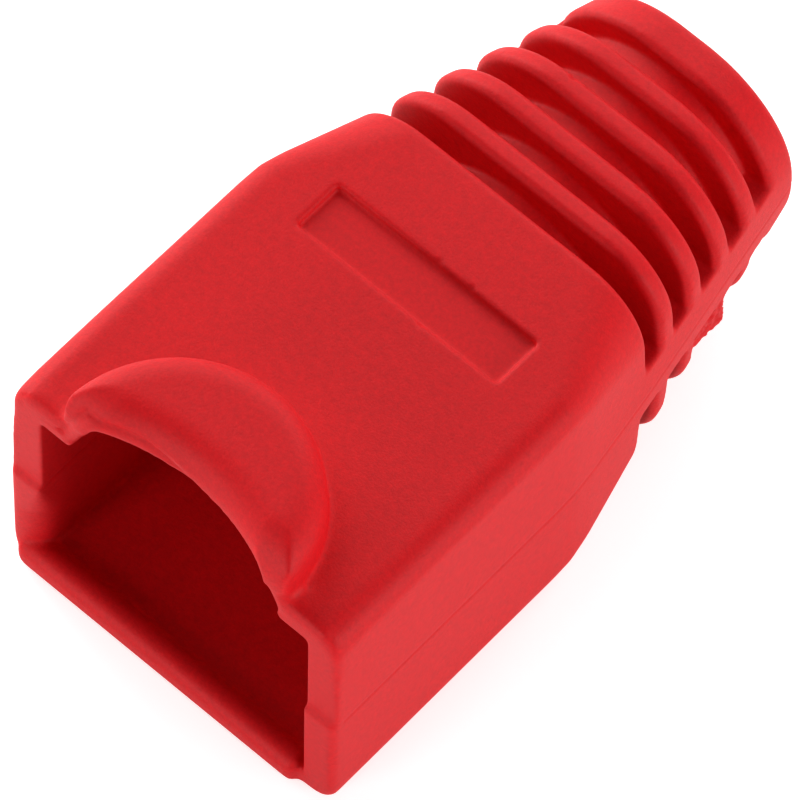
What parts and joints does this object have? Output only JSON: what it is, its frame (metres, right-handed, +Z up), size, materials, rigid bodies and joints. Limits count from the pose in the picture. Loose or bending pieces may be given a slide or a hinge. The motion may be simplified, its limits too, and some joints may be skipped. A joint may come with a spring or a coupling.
{
  "type": "rj45 strain relief boot",
  "caption": "Soft moulded boot for a modular network plug, with a latch guard and a ribbed bending neck for the cable.",
  "frame": {"origin": "on the underside, in the middle of the plug mouth's plane", "axes": "+X across the boot to the right when looking into the neck from the mouth, +Y from the mouth to the cable end, +Z up to the latch guard"},
  "size_m": [0.0144, 0.0259, 0.0132],
  "materials": {
    "boot": "fine matt grain"
  },
  "bodies": {
    "root": {"boot": "boot"}
  },
  "joints": []
}
